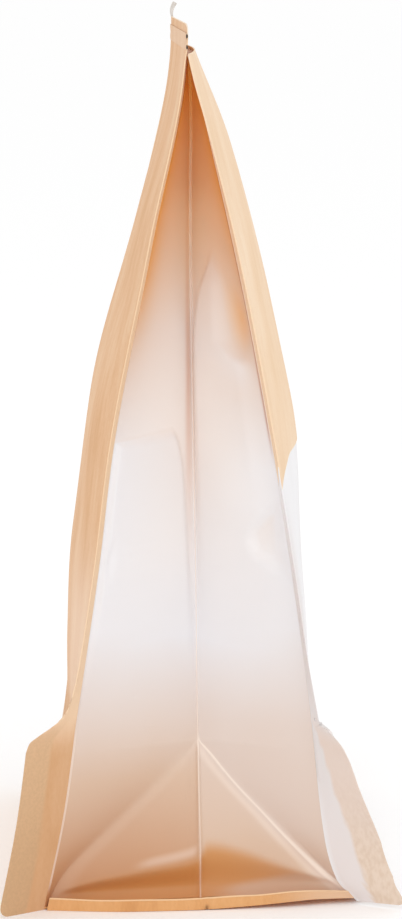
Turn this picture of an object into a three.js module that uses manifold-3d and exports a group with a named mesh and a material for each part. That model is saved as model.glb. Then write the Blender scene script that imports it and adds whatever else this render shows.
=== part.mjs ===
// An empty flat-bottomed paper bag with film side folds, shut at its mouth, standing on its base.
// Millimetres. +X points out of the front panel, +Y runs along the bag's width, +Z is up.
// The bag stands on its base. The origin is on the floor under the middle of its box.
import * as THREE from "three";
import { mergeVertices } from "three/addons/utils/BufferGeometryUtils.js";
import Module from "manifold-3d";

// ---- Driving dimensions ----
const WIDTH = 130; // between the two side folds' seams, along Y
const FRONT_TOP = 242.5; // cut edge of the front panel
const HEADER_TOP = 250.5; // cut edge of the back panel, which stands above the front one
const SHEET = 0.5; // thickness of the paper and the film
const GAP = 0.3; // clearance between neighbouring pieces

// Corner fins, where a panel and a side fold are sealed together, and the feet they widen into
const FIN_WIDTH = 5;
const FOOT_WIDTH = 17;
const FOOT_SHOULDER = 48; // height at which a foot has its whole width
const FOOT_END = 59.5; // height at which a foot has narrowed to the fin
const FOOT_ROUND = 3.2; // rise of a foot's rounded lower corner
const FOOT_LIFT = 0.2; // clearance under the feet's lower edges

// Side folds
const CREASE_X = -1.2; // the inward crease is upright, a little behind the middle
const CREASE_FLAT = 1.2; // width of the rounded bottom of the crease
const FOLD_APEX = 45; // height where the two slanting base creases meet
const MOUTH_CLOSE = 226; // above this the side folds are pressed shut

// Front window
const WINDOW_TOP = 124;

// Base
const BASE_PLATE = 0.8;
const BASE_RIM = 4.4; // height of the sealed rim round the base
const BASE_BOW = 3.2; // how far the near and far rims bow outwards
const RIM_INSET = 9; // the rim stops this far short of each corner, where the feet leave

// Tin tie: a band on the header's outer face, with a wire in a groove along each of its long edges
const TIE_LOW = 243.2;
const TIE_HIGH = 248.3;
const TIE_WIRE_HEIGHTS = { lower: 244.3, upper: 247.2 };
const TIE_WIRE = 0.5; // diameter
const TIE_WIRE_DEPTH = 0.35; // from the band's back to the wire's middle
const TIE_BAND = 0.9; // thickness
const TIE_GROOVE = { depth: 0.7, width: 1.1 };

// Curl of loose lining at the far end of the header
const CURL_LENGTH = 20;
const CURL_RISE = 4.6;
const CURL_BOW = 1.4; // how far its middle bows back
const CURL_REACH = 1.6; // how far its top edge leans to the front
const CURL_START = 0.25; // the share of its height at its near end

// The far feet reach a little further than the near ones, so the bag sits off the box's middle.
const FOOT_REACH = { near: 16, far: 17 };
const MIDDLE_Y = (FOOT_REACH.near - FOOT_REACH.far) / 2;
const NEAR_Y = MIDDLE_Y - WIDTH / 2;
const FAR_Y = MIDDLE_Y + WIDTH / 2;

// ---- Side profile: values at heights, joined by smooth curves ----
const backSeam = smoothCurve([
  [0, -45.8], [30, -39.4], [60, -35.1], [100, -29], [132, -24.8], [190, -13.1], [243, -3.2], [251, -3.2],
]);
const frontSeam = smoothCurve([
  [0, 45], [8, 37.9], [20, 34.7], [60, 30.5], [110, 23.8], [170, 13.7], [243, -1.9],
]);
const backBulge = smoothCurve([[0, 1.5], [60, 3.2], [100, 7], [140, 6.9], [180, 4.1], [215, 1.4], [243, 0]]);
const frontBulge = smoothCurve([
  [0, 2.5], [60, 2.9], [100, 6.1], [140, 9.8], [180, 9.1], [215, 7.2], [243, 2.9],
]);
const foldDepth = smoothCurve([
  [0, 0.6], [FOLD_APEX, 16], [80, 27], [130, 35], [190, 41], [MOUTH_CLOSE, 42], [235, 2], [243, 0.6],
]);

// How far each corner's fin leans out of its panel's plane, in degrees
const finLean = {
  back: {
    near: smoothCurve([[0, 43], [FOOT_SHOULDER, 47], [80, 22], [251, 8]]),
    far: smoothCurve([[0, -6], [FOOT_SHOULDER, -5], [251, 4]]),
  },
  front: {
    near: smoothCurve([[0, 46], [10, 60], [20, 53], [30, 39], [FOOT_SHOULDER, 20], [80, 8], [251, 6]]),
    far: smoothCurve([[0, 26], [FOOT_SHOULDER, 12], [251, 5]]),
  },
};

/** A curve through [height, value] points that never overshoots them. */
function smoothCurve(points) {
  const slopes = points.slice(1).map(([z, v], i) => (v - points[i][1]) / (z - points[i][0]));
  const tangents = points.map((_, i) => {
    const before = slopes[i - 1] ?? slopes[i];
    const after = slopes[i] ?? before;
    return before * after > 0 ? (2 * before * after) / (before + after) : 0;
  });
  return (z) => {
    if (z <= points[0][0]) return points[0][1];
    const i = points.findIndex(([height]) => height >= z) - 1;
    if (i < 0) return points[points.length - 1][1];
    const span = points[i + 1][0] - points[i][0];
    const t = (z - points[i][0]) / span;
    const start = (1 + 2 * t) * (1 - t) ** 2 * points[i][1] + t * (1 - t) ** 2 * span * tangents[i];
    const end = t * t * (3 - 2 * t) * points[i + 1][1] + t * t * (t - 1) * span * tangents[i + 1];
    return start + end;
  };
}

/** Evenly spaced numbers from low to high. */
function steps(low, high, count) {
  return Array.from({ length: count + 1 }, (_, i) => low + ((high - low) * i) / count);
}

/** How wide a corner's fin is at a height: a foot, an S-shaped shoulder, then the plain fin. */
function finWidth(z) {
  return FIN_WIDTH + (FOOT_WIDTH - FIN_WIDTH) * (1 - THREE.MathUtils.smoothstep(z, FOOT_SHOULDER, FOOT_END));
}

/** x of a panel's outer face at height z, and at a share of the half width: -1 near, 1 far. */
function panelX(side, z, across) {
  const arch = 1 - across * across;
  return side === "back" ? backSeam(z) - backBulge(z) * arch : frontSeam(z) + frontBulge(z) * arch;
}

const FIN_SHARES = [1, 0.75, 0.45, 0.2];
const PANEL_STEPS = 14;

/** A panel's outer line at height z, from its near fin's tip to its far fin's tip. */
function panelLine(side, z) {
  const outwards = side === "back" ? -1 : 1;
  const fin = (end, cornerY, direction) => {
    const lean = THREE.MathUtils.degToRad(finLean[side][end](z));
    const corner = new THREE.Vector2(panelX(side, z, direction), cornerY);
    const along = new THREE.Vector2(outwards * Math.sin(lean), direction * Math.cos(lean));
    return FIN_SHARES.map((share) => corner.clone().addScaledVector(along, share * finWidth(z)));
  };
  const middle = steps(-1, 1, PANEL_STEPS).map(
    (across) => new THREE.Vector2(panelX(side, z, across), MIDDLE_Y + (across * WIDTH) / 2),
  );
  return [...fin("near", NEAR_Y, -1), ...middle, ...fin("far", FAR_Y, 1).reverse()];
}

/** The line moved sideways by a distance, with mitred corners. A positive distance moves it towards -X. */
function offsetLine(line, distance) {
  return line.map((point, i) => {
    const before = point.clone().sub(line[Math.max(i - 1, 0)]);
    const after = line[Math.min(i + 1, line.length - 1)].clone().sub(point);
    const first = (before.lengthSq() > 0 ? before : after).clone().normalize();
    const second = (after.lengthSq() > 0 ? after : before).clone().normalize();
    const along = first.clone().add(second).normalize();
    const mitre = 1 / Math.max(along.dot(first), 0.5);
    return point.clone().add(new THREE.Vector2(-along.y, along.x).multiplyScalar(distance * mitre));
  });
}

/** A closed geometry from a grid of points on its one face and the matching grid on its other. */
function sheetGeometry(faceA, faceB) {
  const rows = faceA.length;
  const columns = faceA[0].length;
  const points = [...faceA.flat(), ...faceB.flat()];
  const at = (face, row, column) => face * rows * columns + row * columns + column;
  const triangles = [];
  const quad = (a, b, c, d) => triangles.push(a, b, c, a, c, d);
  for (let r = 0; r + 1 < rows; r++) {
    for (let c = 0; c + 1 < columns; c++) {
      quad(at(0, r, c), at(0, r, c + 1), at(0, r + 1, c + 1), at(0, r + 1, c));
      quad(at(1, r, c), at(1, r + 1, c), at(1, r + 1, c + 1), at(1, r, c + 1));
    }
    quad(at(1, r, 0), at(0, r, 0), at(0, r + 1, 0), at(1, r + 1, 0));
    quad(at(0, r, columns - 1), at(1, r, columns - 1), at(1, r + 1, columns - 1), at(0, r + 1, columns - 1));
  }
  for (let c = 0; c + 1 < columns; c++) {
    quad(at(0, 0, c), at(1, 0, c), at(1, 0, c + 1), at(0, 0, c + 1));
    quad(at(0, rows - 1, c), at(0, rows - 1, c + 1), at(1, rows - 1, c + 1), at(1, rows - 1, c));
  }
  return geometryOf(points, triangles);
}

/** A closed geometry through a stack of rings with equal numbers of points, capped at both ends. */
function loftGeometry(rings) {
  const count = rings[0].length;
  const triangles = [];
  for (let r = 0; r + 1 < rings.length; r++) {
    for (let i = 0; i < count; i++) {
      const next = (i + 1) % count;
      const [a, b, c, d] = [r * count + i, r * count + next, (r + 1) * count + next, (r + 1) * count + i];
      triangles.push(a, b, c, a, c, d);
    }
  }
  const cap = (ring, first, turned) => {
    const flat = ring.map((p) => new THREE.Vector2(p.x, p.y));
    for (const [a, b, c] of THREE.ShapeUtils.triangulateShape(flat, [])) {
      triangles.push(first + a, first + (turned ? c : b), first + (turned ? b : c));
    }
  };
  cap(rings[0], 0, true);
  cap(rings[rings.length - 1], (rings.length - 1) * count, false);
  return geometryOf(rings.flat(), triangles);
}

function geometryOf(points, triangles) {
  const geometry = new THREE.BufferGeometry();
  const numbers = points.flatMap((p) => [p.x, p.y, p.z]);
  geometry.setAttribute("position", new THREE.Float32BufferAttribute(numbers, 3));
  geometry.setIndex(triangles);
  return geometry;
}

// ---- Paper and film panels ----

const FOOT_LEVELS = [6, 12, 20, 30, 40, 47, 50, 53, 56, 59, 62];
const CLEAR_OF_PLATE = BASE_PLATE + GAP;

/** Heights of a panel's rows between two cut edges. */
function levelsBetween(low, high) {
  const wanted = [...FOOT_LEVELS, ...steps(72, 242, 17)];
  return [low, ...wanted.filter((z) => z > low + 2 && z < high - 2), high];
}

/** Lower edge of a column: over the base plate, down beside it along a foot, and up round the foot's tip. */
function lowerEdge(column, columns) {
  const fromEnd = Math.min(column, columns - 1 - column);
  return [FOOT_ROUND, FOOT_LIFT + 0.3, FOOT_LIFT, FOOT_LIFT + 0.4][fromEnd] ?? CLEAR_OF_PLATE;
}

/** Upper edge of a column, with the fin's top corner rounded off. */
function upperEdge(column, columns, top) {
  const fromEnd = Math.min(column, columns - 1 - column);
  return top - ([1.8, 0.4][fromEnd] ?? 0);
}

/** One panel as a sheet with its fins, between two heights. */
function panelGeometry(side, low, high, { feet, cutTop }) {
  const levels = levelsBetween(low, high);
  const inwards = side === "back" ? -SHEET : SHEET;
  const grid = (distance) =>
    levels.map((level, row) => {
      const columns = panelLine(side, level).length;
      return Array.from({ length: columns }, (_, column) => {
        let z = level;
        if (feet && row === 0) z = lowerEdge(column, columns);
        if (cutTop && row === levels.length - 1) z = upperEdge(column, columns, level);
        const point = offsetLine(panelLine(side, z), distance)[column];
        return new THREE.Vector3(point.x, point.y, z);
      });
    });
  const faces = side === "back" ? [grid(inwards), grid(0)] : [grid(0), grid(inwards)];
  return sheetGeometry(...faces);
}

// ---- Film body with its two side folds ----

const BODY_LEVELS = [
  CLEAR_OF_PLATE, 6, 12, 20, 28, 36, FOLD_APEX, 52, ...steps(62, 222, 16), MOUTH_CLOSE, 231, 235, 238, 241,
];
const BODY_INSET = SHEET + GAP;
const BODY_STEPS = 10;
const SEAM_LEAST = CREASE_FLAT + 0.2; // where the film is thinner at the seams, it stops short of them
const MOUTH_LEAST = 0.3; // thickness at which it stops there

/** The body's ring at height z. Each side fold is a V, split below its apex by the base's triangle. */
function bodyRing(z) {
  const towardsApex = Math.min(z / FOLD_APEX, 1);
  const creaseHalf = CREASE_FLAT / 2;
  const backX = (across) => panelX("back", z, across) + BODY_INSET;
  const frontX = (across) => panelX("front", z, across) - BODY_INSET;
  const reach = frontX(1) - backX(1) > SEAM_LEAST ? 1 : mouthReach(backX, frontX);
  const back = backX(reach);
  const front = frontX(reach);
  const creaseBack = back + (Math.max(CREASE_X - creaseHalf, back) - back) * towardsApex;
  const creaseFront = front + (Math.min(CREASE_X + creaseHalf, front) - front) * towardsApex;
  const halfWidth = (reach * WIDTH) / 2 - GAP;
  const arch = steps(-reach, reach, BODY_STEPS).slice(1, -1);
  const near = (x, depth) => new THREE.Vector3(x, MIDDLE_Y - halfWidth + depth, z);
  const far = (x, depth) => new THREE.Vector3(x, MIDDLE_Y + halfWidth - depth, z);
  const onPanel = (xAt) => (across) => new THREE.Vector3(xAt(across), MIDDLE_Y + (across * WIDTH) / 2, z);
  return [
    near(back, 0),
    near(creaseBack, foldDepth(z)),
    near(creaseFront, foldDepth(z)),
    near(front, 0),
    ...arch.map(onPanel(frontX)),
    far(front, 0),
    far(creaseFront, foldDepth(z)),
    far(creaseBack, foldDepth(z)),
    far(back, 0),
    ...arch.slice().reverse().map(onPanel(backX)),
  ];
}

/** Near the shut mouth the panels meet at their corners: the share of the half width that holds film. */
function mouthReach(backX, frontX) {
  const shares = steps(0, 1, 100).filter((share) => frontX(share) - backX(share) > MOUTH_LEAST);
  return shares[shares.length - 1];
}

// ---- Base ----

/** The base plate's outline: straight under the panels, bowed at the near and far ends. */
function plateShape() {
  const back = panelX("back", 0, 1) - SHEET;
  const front = panelX("front", 0, 1) + SHEET;
  const middle = (back + front) / 2;
  const shape = new THREE.Shape();
  shape.moveTo(back, NEAR_Y);
  shape.quadraticCurveTo(middle, NEAR_Y - 2 * BASE_BOW, front, NEAR_Y);
  shape.quadraticCurveTo(front + 2 * frontBulge(0), MIDDLE_Y, front, FAR_Y);
  shape.quadraticCurveTo(middle, FAR_Y + 2 * BASE_BOW, back, FAR_Y);
  shape.quadraticCurveTo(back - 2 * backBulge(0), MIDDLE_Y, back, NEAR_Y);
  return shape;
}

/** The stretch of one bowed side that a rim stands on, short of both corners. */
function rimLine(start, control, end) {
  const curve = new THREE.QuadraticBezierCurve(start, control, end);
  const inset = RIM_INSET / start.distanceTo(end);
  return steps(inset, 1 - inset, 12).map((share) => curve.getPoint(share));
}

/** A rim: the outline's stretch raised to the rim's height, as a sheet inside the outline. */
function rimGeometry(line) {
  const grid = (distance) =>
    [0, BASE_RIM].map((z) => offsetLine(line, distance).map((p) => new THREE.Vector3(p.x, p.y, z)));
  return sheetGeometry(grid(0), grid(SHEET));
}

function baseGeometry() {
  const back = panelX("back", 0, 1) - SHEET;
  const front = panelX("front", 0, 1) + SHEET;
  const middle = (back + front) / 2;
  const point = (x, y) => new THREE.Vector2(x, y);
  const [near, far] = [NEAR_Y - SHEET, FAR_Y + SHEET];
  const [behind, before] = [back - SHEET, front + SHEET];
  const rims = [
    rimLine(point(back, near), point(middle, near - 2 * BASE_BOW), point(front, near)),
    rimLine(point(before, NEAR_Y), point(before + 2 * frontBulge(0), MIDDLE_Y), point(before, FAR_Y)),
    rimLine(point(front, far), point(middle, far + 2 * BASE_BOW), point(back, far)),
    rimLine(point(behind, FAR_Y), point(behind - 2 * backBulge(0), MIDDLE_Y), point(behind, NEAR_Y)),
  ];
  const flat = { depth: BASE_PLATE, bevelEnabled: false, curveSegments: 16 };
  return joined([new THREE.ExtrudeGeometry(plateShape(), flat), ...rims.map(rimGeometry)]);
}

// ---- Joining with manifold-3d ----

const wasm = await Module();
wasm.setup();

function solidOf(geometry) {
  const bare = geometry.clone();
  bare.deleteAttribute("normal");
  bare.deleteAttribute("uv");
  const merged = mergeVertices(bare, 1e-4);
  const mesh = new wasm.Mesh({
    numProp: 3,
    vertProperties: merged.attributes.position.array,
    triVerts: new Uint32Array(merged.index.array),
  });
  return new wasm.Manifold(mesh);
}

/** One geometry from several that touch or overlap. */
function joined(geometries) {
  const mesh = geometries.map(solidOf).reduce((a, b) => a.add(b)).getMesh();
  const geometry = new THREE.BufferGeometry();
  geometry.setAttribute("position", new THREE.BufferAttribute(mesh.vertProperties, 3));
  geometry.setIndex(new THREE.BufferAttribute(mesh.triVerts, 1));
  return geometry;
}

// ---- Tin tie ----

const TIE_FACE = backSeam(HEADER_TOP) - GAP; // the band's back face lies on the header's outer face

/** The band's section, with a groove for each wire in its back. x is outwards from the header, y is up. */
function tieBandShape() {
  const shape = new THREE.Shape();
  shape.moveTo(0, TIE_LOW);
  shape.lineTo(TIE_BAND, TIE_LOW);
  shape.lineTo(TIE_BAND, TIE_HIGH);
  shape.lineTo(0, TIE_HIGH);
  for (const height of [TIE_WIRE_HEIGHTS.upper, TIE_WIRE_HEIGHTS.lower]) {
    shape.lineTo(0, height + TIE_GROOVE.width / 2);
    shape.lineTo(TIE_GROOVE.depth, height + TIE_GROOVE.width / 2);
    shape.lineTo(TIE_GROOVE.depth, height - TIE_GROOVE.width / 2);
    shape.lineTo(0, height - TIE_GROOVE.width / 2);
  }
  return shape;
}

/** A length of a section along the bag's width, centred on its middle, on the header's outer face. */
function alongWidth(shape, length, curveSegments) {
  const geometry = new THREE.ExtrudeGeometry(shape, { depth: length, bevelEnabled: false, curveSegments });
  geometry.translate(0, 0, -length / 2);
  geometry.applyMatrix4(
    new THREE.Matrix4().makeBasis(
      new THREE.Vector3(-1, 0, 0),
      new THREE.Vector3(0, 0, 1),
      new THREE.Vector3(0, 1, 0),
    ),
  );
  geometry.translate(TIE_FACE, MIDDLE_Y, 0);
  return geometry;
}

function tieWireGeometry(height) {
  const shape = new THREE.Shape();
  shape.absarc(TIE_WIRE_DEPTH, height, TIE_WIRE / 2, 0, 2 * Math.PI, false);
  return alongWidth(shape, WIDTH + 1, 6);
}

// ---- Curl of loose lining ----

/** A thin strip that stands on the header's cut edge at its far end and curls towards the front. */
function curlGeometry() {
  const foot = HEADER_TOP + GAP;
  const bow = (share) => CURL_REACH * share * share - CURL_BOW * Math.sin(Math.PI * share);
  const grid = (distance) =>
    steps(0, 1, 8).map((share) =>
      steps(0, 1, 6).map((along) => {
        const fade = Math.sin((Math.PI / 2) * Math.min(1, CURL_START + 1.6 * along));
        const x = backSeam(HEADER_TOP) + SHEET + bow(share) * fade + distance;
        return new THREE.Vector3(x, FAR_Y - CURL_LENGTH * (1 - along), foot + CURL_RISE * share * fade);
      }),
    );
  return sheetGeometry(grid(0), grid(-SHEET));
}

// ---- The bag ----

const materials = {
  kraft: new THREE.MeshStandardMaterial({ color: 0xdfb98f, roughness: 0.75, metalness: 0 }),
  film: new THREE.MeshStandardMaterial({ color: 0xece6e2, roughness: 0.4, metalness: 0 }),
  window: new THREE.MeshStandardMaterial({ color: 0xf5f5f6, roughness: 0.35, metalness: 0 }),
  wire: new THREE.MeshStandardMaterial({ color: 0x4a3826, roughness: 0.5, metalness: 0.8 }),
};

function piece(name, geometry, material) {
  const mesh = new THREE.Mesh(geometry, material);
  mesh.name = name;
  return mesh;
}

const bag = new THREE.Group();
bag.add(
  piece("film_body", loftGeometry(BODY_LEVELS.map(bodyRing)), materials.film),
  piece("back_panel", panelGeometry("back", 0, HEADER_TOP, { feet: true, cutTop: true }), materials.kraft),
  piece(
    "front_panel",
    panelGeometry("front", WINDOW_TOP + GAP / 2, FRONT_TOP, { feet: false, cutTop: true }),
    materials.kraft,
  ),
  piece(
    "front_window",
    panelGeometry("front", 0, WINDOW_TOP - GAP / 2, { feet: true, cutTop: false }),
    materials.window,
  ),
  piece("base_panel", baseGeometry(), materials.kraft),
  piece("tie_band", alongWidth(tieBandShape(), WIDTH, 6), materials.kraft),
  piece("lining_curl", curlGeometry(), materials.film),
);
for (const [end, height] of Object.entries(TIE_WIRE_HEIGHTS)) {
  bag.add(piece(`tie_wire_${end}`, tieWireGeometry(height), materials.wire));
}

export default bag;
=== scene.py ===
"""An empty flat-bottomed paper bag with film side folds, standing on its base and seen from its side.

Lengths are in millimetres until a mesh is made. The axes are the frame's: +X points out of the front panel,
+Y runs along the bag's width, away from the camera, and +Z is up.
"""
import math

import bmesh
import bpy
import numpy as np
from mathutils import Matrix, Vector


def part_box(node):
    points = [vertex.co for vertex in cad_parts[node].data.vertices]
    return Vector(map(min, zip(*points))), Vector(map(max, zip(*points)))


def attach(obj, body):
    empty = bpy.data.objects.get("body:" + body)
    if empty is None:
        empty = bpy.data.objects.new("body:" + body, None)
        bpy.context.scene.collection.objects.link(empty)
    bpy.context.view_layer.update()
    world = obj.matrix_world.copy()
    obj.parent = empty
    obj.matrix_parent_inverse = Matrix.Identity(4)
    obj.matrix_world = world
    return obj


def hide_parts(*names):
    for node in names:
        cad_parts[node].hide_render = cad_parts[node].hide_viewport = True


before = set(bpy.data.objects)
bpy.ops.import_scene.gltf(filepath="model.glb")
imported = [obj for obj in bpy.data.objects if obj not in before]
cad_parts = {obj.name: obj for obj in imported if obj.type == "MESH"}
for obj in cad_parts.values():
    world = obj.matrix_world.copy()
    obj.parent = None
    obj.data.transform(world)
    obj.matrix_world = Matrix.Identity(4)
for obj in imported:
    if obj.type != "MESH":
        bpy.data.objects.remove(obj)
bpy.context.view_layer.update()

MM = 0.001
SHARP_ANGLE = 40  # degrees past which an edge is shaded sharp


# ---- Small helpers ----

def box_of(node):
    """Lowest and highest corner of a node of the frame, in millimetres."""
    low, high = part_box(node)
    return np.array(low) / MM, np.array(high) / MM


def curve(*points):
    """A smooth curve through (place, value) points that never overshoots them, for arrays of places."""
    places = np.array([p[0] for p in points], float)
    values = np.array([p[1] for p in points], float)
    spans = np.diff(places)
    slopes = np.diff(values) / spans
    before = np.concatenate([slopes[:1], slopes])
    after = np.concatenate([slopes, slopes[-1:]])
    product = before * after
    total = np.where(before + after == 0, 1, before + after)
    tangents = np.where(product > 0, 2 * product / total, 0)

    def value_at(place):
        place = np.clip(np.asarray(place, float), places[0], places[-1])
        i = np.clip(np.searchsorted(places, place) - 1, 0, len(spans) - 1)
        t = (place - places[i]) / spans[i]
        start = (1 + 2 * t) * (1 - t) ** 2 * values[i] + t * (1 - t) ** 2 * spans[i] * tangents[i]
        end = t * t * (3 - 2 * t) * values[i + 1] + t * t * (t - 1) * spans[i] * tangents[i + 1]
        return start + end

    return value_at


def ease(low, high, value):
    """0 below low, 1 above high and smooth between them. With low above high it falls instead."""
    share = np.clip((np.asarray(value, float) - low) / (high - low), 0, 1)
    return share * share * (3 - 2 * share)


def hump(centre, reach, value):
    """1 at the centre, falling smoothly to 0 at reach on both sides of it."""
    return ease(reach, 0, np.abs(np.asarray(value, float) - centre))


# ---- Sizes taken from the frame ----

TIE_LOW, TIE_HIGH = box_of("tie_band")
NEAR_Y = TIE_LOW[1]
FAR_Y = TIE_HIGH[1]
MIDDLE_Y = (NEAR_Y + FAR_Y) / 2
HALF_WIDTH = (FAR_Y - NEAR_Y) / 2
HEADER_TOP = box_of("back_panel")[1][2]
FRONT_TOP = box_of("front_panel")[1][2]
WINDOW_TOP = box_of("front_window")[1][2]
RIM_TOP = box_of("base_panel")[1][2]
CURL_TOP = box_of("lining_curl")[1][2]

PAPER = 0.3  # thickness of the kraft
FILM = 0.16  # thickness of the film
FIN_WIDTH = 5
FOOT_WIDTH = 17
FOOT_SHOULDER = 48  # under this height a foot has its sealed band whole
FOOT_END = 57  # and above this one there is none
FRONT_SHOULDER = 53.3  # the front feet have a sharper shoulder
FRONT_SHOULDER_DROP = 5
FRONT_SHOULDER_ROUND = 0.6  # power of the bend; under 1 it widens sooner below its top
FOOT_LIFT = {"back": 0.15, "front": 1.1}  # height of a foot's lower edge at its seam
FOOT_TIP_LIFT = {"back": 0.6, "front": 0.5}  # how much higher its outer corner is
FOOT_ROUND = 3.4
HEADER_DROP = 2.7  # how far the header's cut edge falls at its corners
HEADER_NEAR_REACH = 17  # and how far in from them it starts to
HEADER_FAR_REACH = 5
FOLD_APEX = 45  # height at which the two slanting base creases meet
CREASE_HALF = 0.35  # half the width of the crease's rounded bottom
RIPPLE = 0.35  # height of the panels' slow waves


# ---- Side profile, values at heights ----

back_seam = curve(
    (0, -45.8), (30, -39.4), (60, -35.1), (100, -29), (132, -24.8), (190, -13.1), (243, -3.1), (251, -2.9),
)
front_seam = curve((0, 45), (8, 37.9), (20, 34.7), (60, 30.5), (110, 23.8), (170, 13.7), (243, -1.9))
back_bulge = curve((0, 1.0), (45, 1.6), (70, 4.4), (100, 7.2), (140, 6.9), (180, 4.1), (215, 1.4), (243, 0))
front_bulge = curve((0, 2.5), (60, 3.1), (80, 5), (100, 6.7), (140, 9.9), (180, 9.2), (215, 7.6), (243, 3.0))
crease_x = curve(
    (0, -1.0), (45, -1.0), (90, -0.7), (133, -0.7), (180, -1.0), (212, -1.1), (226, -1.5), (243, -2.5),
)
fold_depth = curve(
    (0, 0.6), (45, 16), (80, 27), (130, 35), (180, 38), (205, 33), (220, 20), (232, 8), (243, 0.6),
)
FIN_LEAN = {  # degrees that a fin leans out of its panel's plane, by panel and by end, -1 near and 1 far
    ("back", -1): curve(
        (0, 51), (50, 53), (55, 47.5), (61, 33), (68, 23),
        (80, 19), (236, 8), (242, 5), (246, 0.5), (251, 0.5),
    ),
    ("back", 1): curve((0, -6), (48, -5), (200, 2), (230, -2), (251, -4)),
    ("front", -1): curve(
        (0, 55), (10, 69), (20, 63), (26, 54.5), (32, 45.5), (38, 38), (44.5, 31.5), (50, 24.5),
        (80, 8), (190, 7), (212, 2), (226, -4), (236, -10), (251, -10.5),
    ),
    ("front", 1): curve((0, 26), (48, 12), (251, 5)),
}

# Share of its extra width that a back foot has at each height
back_foot = curve((48, 1), (50.5, 0.93), (52.4, 0.7), (54.6, 0.35), (56.8, 0.08), (60, 0))


def fin_width(side, z):
    """How wide a corner's fin is at a height: a foot, a rounded shoulder, then the plain fin."""
    if side == "back":
        share = back_foot(z)
    else:
        drop = np.clip((FRONT_SHOULDER - z) / FRONT_SHOULDER_DROP, 0, 1)
        share = np.sin(drop * math.pi / 2) ** FRONT_SHOULDER_ROUND
    return FIN_WIDTH + (FOOT_WIDTH - FIN_WIDTH) * share


def ripple(z, across):
    """Slow uneven waves over a panel, in millimetres, that die out at its seams, its base and its top."""
    wave = np.sin(z / 23 + across * 2.1) * np.sin(across * 3.8 + 1.3) + 0.6 * np.sin(z / 11 - across * 3.4)
    return RIPPLE * wave * (1 - across**2) * ease(4, 40, z) * ease(FRONT_TOP, FRONT_TOP - 30, z)


def panel_x(side, z, across):
    """x of a panel's outer face at height z and at a share of the half width, -1 near and 1 far."""
    arch = 1 - across * across
    if side == "back":
        return back_seam(z) - back_bulge(z) * arch - ripple(z, across)
    return front_seam(z) + front_bulge(z) * arch + ripple(z + 40, -across)


def fin_point(side, end, z, distance):
    """x and y on a fin's outer face, a distance out from its seam."""
    lean = np.radians(FIN_LEAN[side, end](z))
    outwards = -1 if side == "back" else 1
    x = panel_x(side, z, 1) + outwards * np.sin(lean) * distance
    y = MIDDLE_Y + end * (HALF_WIDTH + np.cos(lean) * distance)
    return x, y


# ---- Meshes ----

def surface_normals(grid):
    """Unit normals of a grid of points, from its columns crossed with its rows."""
    normal = np.cross(np.gradient(grid, axis=1), np.gradient(grid, axis=0))
    return normal / np.maximum(np.linalg.norm(normal, axis=2, keepdims=True), 1e-9)


def finish_mesh(name, points, faces, material):
    """An object from points in millimetres, with its faces turned out and smooth up to a sharp angle."""
    mesh = bpy.data.meshes.new(name)
    mesh.from_pydata((np.asarray(points) * MM).tolist(), [], faces)
    work = bmesh.new()
    work.from_mesh(mesh)
    bmesh.ops.recalc_face_normals(work, faces=work.faces)
    work.to_mesh(mesh)
    work.free()
    mesh.shade_smooth()
    mesh.set_sharp_from_angle(angle=math.radians(SHARP_ANGLE))
    mesh.materials.append(material)
    piece = bpy.data.objects.new(name, mesh)
    bpy.context.scene.collection.objects.link(piece)
    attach(piece, "root")
    return piece


def sheet(name, grid, thickness, material, fields=None):
    """A closed thin sheet. The grid is its one face, and the other lies a thickness behind its normals."""
    rows, columns = grid.shape[:2]
    count = rows * columns
    behind = grid - surface_normals(grid) * thickness
    index = np.arange(count).reshape(rows, columns)
    a, b, c, d = (part.ravel() for part in (index[:-1, :-1], index[:-1, 1:], index[1:, 1:], index[1:, :-1]))
    rim = np.concatenate([index[0, :], index[1:, -1], index[-1, -2::-1], index[-2:0:-1, 0]])
    after = np.roll(rim, -1)
    faces = [
        np.stack([a, b, c, d], 1),
        np.stack([a, d, c, b], 1) + count,
        np.stack([after, rim, rim + count, after + count], 1),
    ]
    points = np.concatenate([grid.reshape(-1, 3), behind.reshape(-1, 3)])
    piece = finish_mesh(name, points, np.concatenate(faces).tolist(), material)
    for field, values in (fields or {}).items():
        write_field(piece, field, np.tile(values.ravel(), 2))
    return piece


def write_field(piece, name, values):
    """A number at each point of a piece, for its material to read."""
    layer = piece.data.attributes.new(name, "FLOAT", "POINT")
    layer.data.foreach_set("value", np.asarray(values, np.float32))


# ---- Colours and materials ----

def rgb(red, green, blue):
    """A linear colour from display values of 0 to 255."""
    def linear(value):
        share = value / 255
        return share / 12.92 if share <= 0.04045 else ((share + 0.055) / 1.055) ** 2.4

    return (linear(red), linear(green), linear(blue), 1)


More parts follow.
